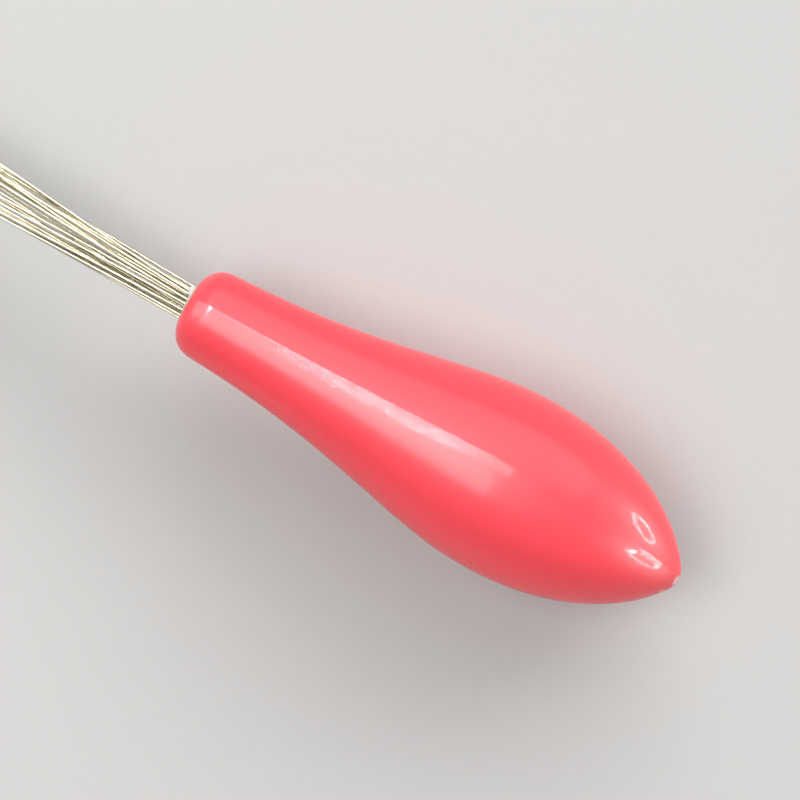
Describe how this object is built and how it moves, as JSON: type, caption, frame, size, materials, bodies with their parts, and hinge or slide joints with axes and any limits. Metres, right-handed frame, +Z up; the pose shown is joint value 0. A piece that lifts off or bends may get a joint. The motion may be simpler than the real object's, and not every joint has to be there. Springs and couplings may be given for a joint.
{
  "type": "needle threader",
  "caption": "Drop-shaped moulded handle with a bunch of long fine spring-wire hairpins glued into its mouth, whose narrow eyes pull thread through small holes.",
  "frame": {"origin": "centre of the bounding box on the table plane that the belly rests on", "axes": "+X along the handle's axis towards its pointed tip, wires towards -X; +Z up"},
  "size_m": [0.21, 0.02, 0.02],
  "materials": {
    "coral_plastic": "glossy injection moulding with a mould parting line",
    "spring_steel": "bright drawn wire",
    "clear_adhesive": "clear hardened adhesive"
  },
  "bodies": {
    "root": {"handle": "coral_plastic", "adhesive": "clear_adhesive", "loop_01": "spring_steel", "loop_02": "spring_steel", "loop_03": "spring_steel", "loop_04": "spring_steel", "loop_05": "spring_steel", "loop_06": "spring_steel", "loop_07": "spring_steel", "loop_08": "spring_steel", "loop_09": "spring_steel", "loop_10": "spring_steel", "loop_11": "spring_steel", "loop_12": "spring_steel", "loop_13": "spring_steel", "loop_14": "spring_steel", "loop_15": "spring_steel", "loop_16": "spring_steel", "loop_17": "spring_steel", "loop_18": "spring_steel"}
  },
  "joints": []
}
